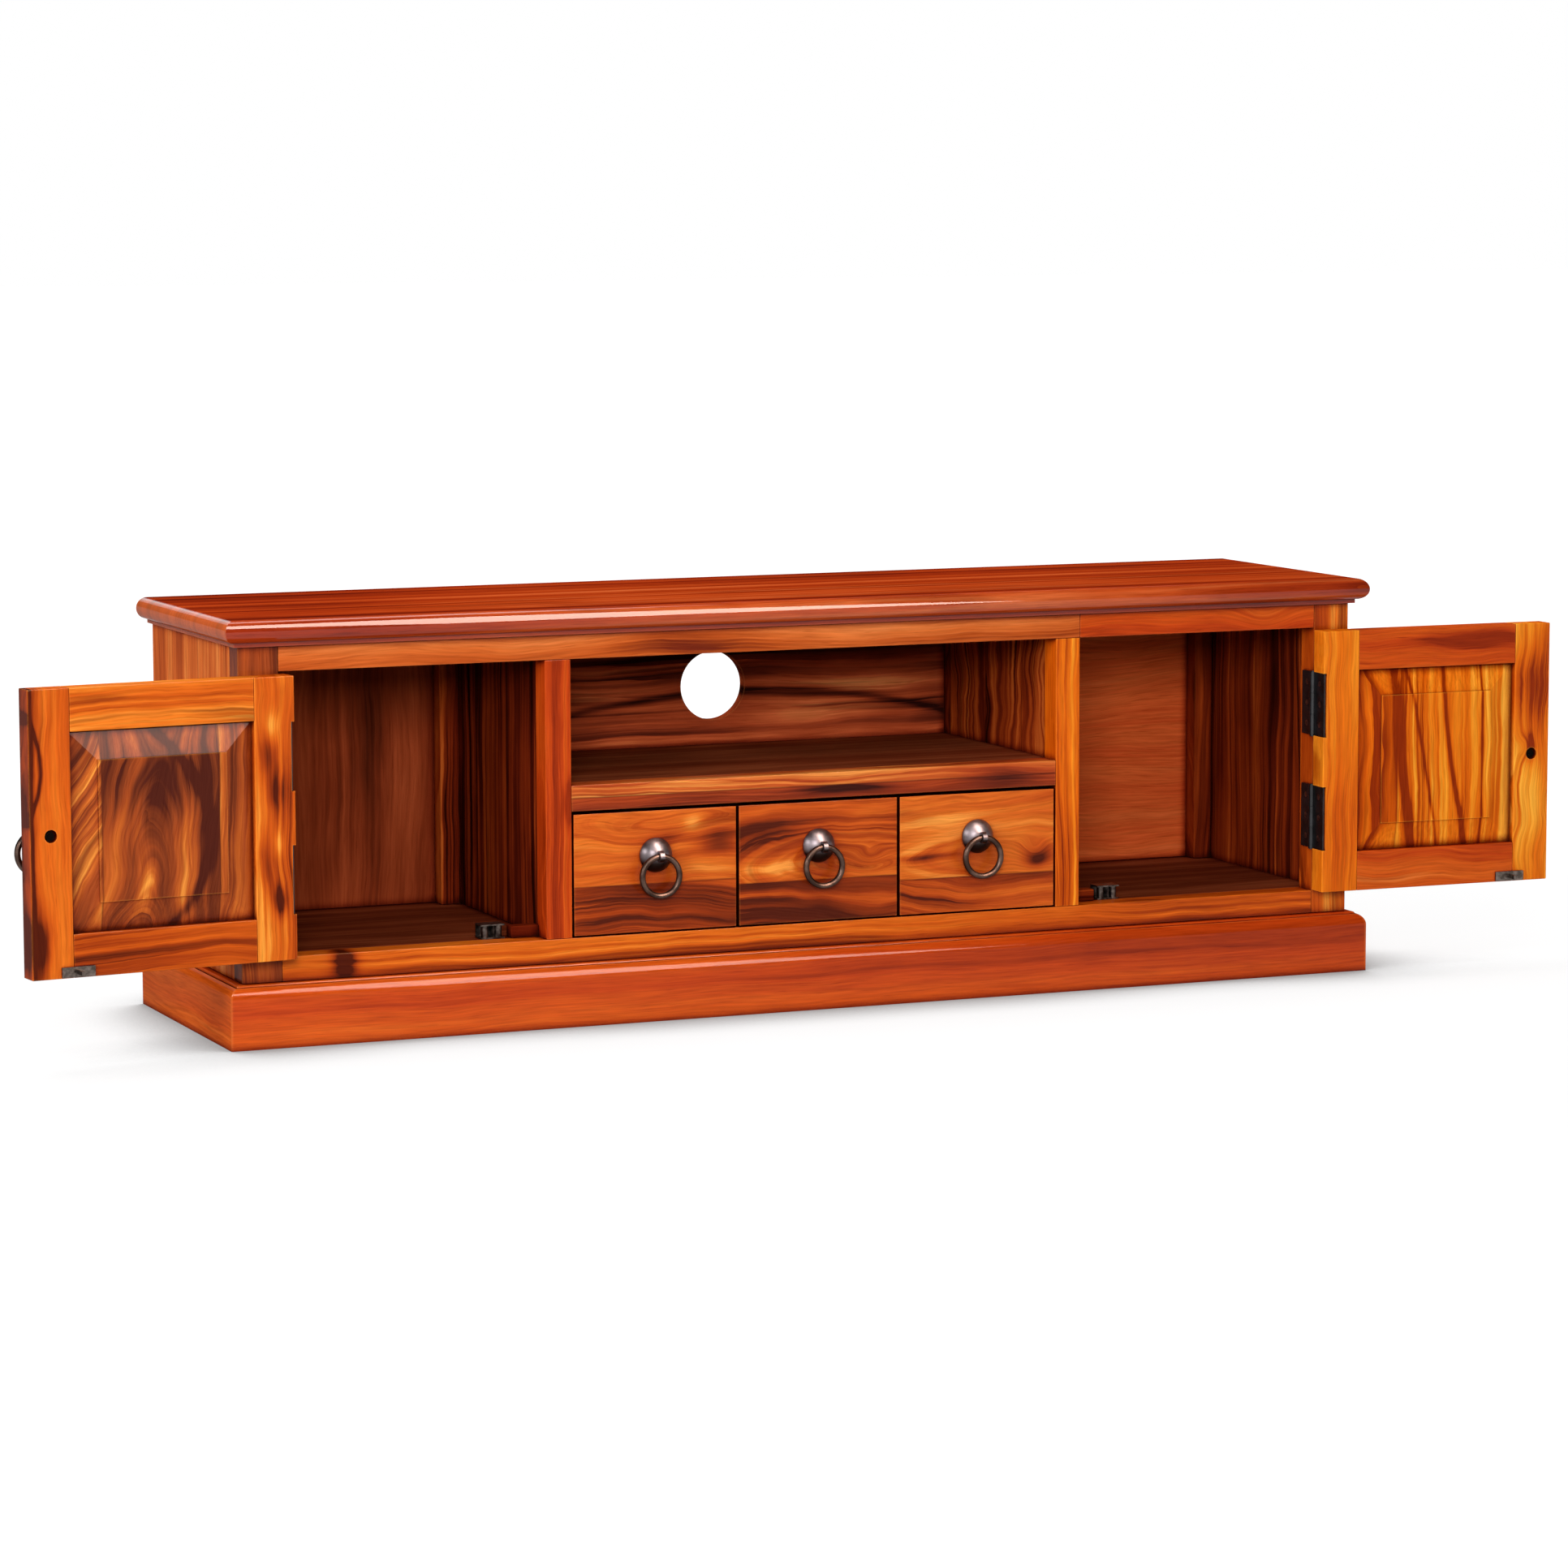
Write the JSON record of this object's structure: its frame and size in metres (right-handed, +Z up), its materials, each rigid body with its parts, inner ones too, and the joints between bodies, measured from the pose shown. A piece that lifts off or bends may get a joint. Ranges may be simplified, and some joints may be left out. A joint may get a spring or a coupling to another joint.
{
  "type": "tv stand",
  "caption": "Low solid-wood television stand: raised-panel doors either side of an open bay over drawers, ring pulls, half-round top edge and a moulded plinth.",
  "frame": {"origin": "on the floor, under the middle of the cabinet: half length and half depth", "axes": "+X along the length to the right as seen from the front, -Y out of the front, +Z up"},
  "size_m": [1.6066, 0.3489, 0.4],
  "materials": {
    "lacquered_wood": "gloss lacquer",
    "plain_wood": "plain sanded",
    "black_hinge": "black japanned",
    "screw_steel": "dull steel",
    "pull_iron": "dark bronzed",
    "catch_steel": "plated"
  },
  "bodies": {
    "cabinet": {"top_board": "lacquered_wood", "top_rails": "lacquered_wood", "bottom_rail": "lacquered_wood", "post_left": "lacquered_wood", "post_right": "lacquered_wood", "side_panel_left": "lacquered_wood", "side_panel_right": "lacquered_wood", "divider_stile_left": "lacquered_wood", "divider_stile_right": "lacquered_wood", "divider_panel_left": "lacquered_wood", "divider_panel_right": "lacquered_wood", "shelf_rail": "lacquered_wood", "shelf_board": "lacquered_wood", "floor_board": "lacquered_wood", "back_panel_left": "lacquered_wood", "back_panel_centre": "lacquered_wood", "back_panel_right": "lacquered_wood", "rear_battens": "plain_wood", "plinth_front": "lacquered_wood", "plinth_left": "lacquered_wood", "plinth_right": "lacquered_wood", "plinth_back": "plain_wood", "plinth_bearers": "plain_wood", "drawer_runners": "plain_wood", "hinge_leaves_post": "black_hinge", "hinge_pins": "black_hinge", "hinge_screws_post": "screw_steel", "roller_catches": "catch_steel", "door_stops": "plain_wood"},
    "door_left": {"door_left_hinge_stile": "lacquered_wood", "door_left_pull_stile": "lacquered_wood", "door_left_rails": "lacquered_wood", "door_left_panel": "lacquered_wood", "door_left_hinge_leaves": "black_hinge", "door_left_hinge_screws": "screw_steel", "door_left_pull": "pull_iron", "door_left_strike": "catch_steel"},
    "door_left_ring": {"door_left_ring": "pull_iron"},
    "door_right": {"door_right_hinge_stile": "lacquered_wood", "door_right_pull_stile": "lacquered_wood", "door_right_rails": "lacquered_wood", "door_right_panel": "lacquered_wood", "door_right_hinge_leaves": "black_hinge", "door_right_hinge_screws": "screw_steel", "door_right_pull": "pull_iron", "door_right_strike": "catch_steel"},
    "door_right_ring": {"door_right_ring": "pull_iron"},
    "drawer_left": {"drawer_left_front": "lacquered_wood", "drawer_left_box": "plain_wood", "drawer_left_pull": "pull_iron"},
    "drawer_left_ring": {"drawer_left_ring": "pull_iron"},
    "drawer_centre": {"drawer_centre_front": "lacquered_wood", "drawer_centre_box": "plain_wood", "drawer_centre_pull": "pull_iron"},
    "drawer_centre_ring": {"drawer_centre_ring": "pull_iron"},
    "drawer_right": {"drawer_right_front": "lacquered_wood", "drawer_right_box": "plain_wood", "drawer_right_pull": "pull_iron"},
    "drawer_right_ring": {"drawer_right_ring": "pull_iron"}
  },
  "joints": [
    {"name": "door_left_hinge", "type": "hinge", "parent": "cabinet", "child": "door_left", "pos_m": [-0.5425, -0.1375, 0.21725], "axis": [0, 0, 1], "range_deg": [-6, 174]},
    {"name": "door_left_ring_hinge", "type": "hinge", "parent": "door_left", "child": "door_left_ring", "pos_m": [-0.78127, -0.15224, 0.21575], "axis": [0.9945, 0.1045, 0], "range_deg": [-15, 190]},
    {"name": "door_right_hinge", "type": "hinge", "parent": "cabinet", "child": "door_right", "pos_m": [0.5425, -0.1375, 0.21725], "axis": [0, 0, 1], "range_deg": [-179, 1]},
    {"name": "door_right_ring_hinge", "type": "hinge", "parent": "door_right", "child": "door_right_ring", "pos_m": [0.78164, -0.13137, 0.21575], "axis": [0.9998, -0.0175, 0], "range_deg": [-15, 190]},
    {"name": "drawer_left_slide", "type": "slide", "parent": "cabinet", "child": "drawer_left", "axis": [0, -1, 0], "range_m": [0, 0.2]},
    {"name": "drawer_left_ring_hinge", "type": "hinge", "parent": "drawer_left", "child": "drawer_left_ring", "pos_m": [-0.17033, -0.1478, 0.159], "axis": [-1, 0, 0], "range_deg": [-15, 190]},
    {"name": "drawer_centre_slide", "type": "slide", "parent": "cabinet", "child": "drawer_centre", "axis": [0, -1, 0], "range_m": [0, 0.2]},
    {"name": "drawer_centre_ring_hinge", "type": "hinge", "parent": "drawer_centre", "child": "drawer_centre_ring", "pos_m": [0, -0.1478, 0.159], "axis": [-1, 0, 0], "range_deg": [-15, 190]},
    {"name": "drawer_right_slide", "type": "slide", "parent": "cabinet", "child": "drawer_right", "axis": [0, -1, 0], "range_m": [0, 0.2]},
    {"name": "drawer_right_ring_hinge", "type": "hinge", "parent": "drawer_right", "child": "drawer_right_ring", "pos_m": [0.17033, -0.1478, 0.159], "axis": [-1, 0, 0], "range_deg": [-15, 190]}
  ]
}
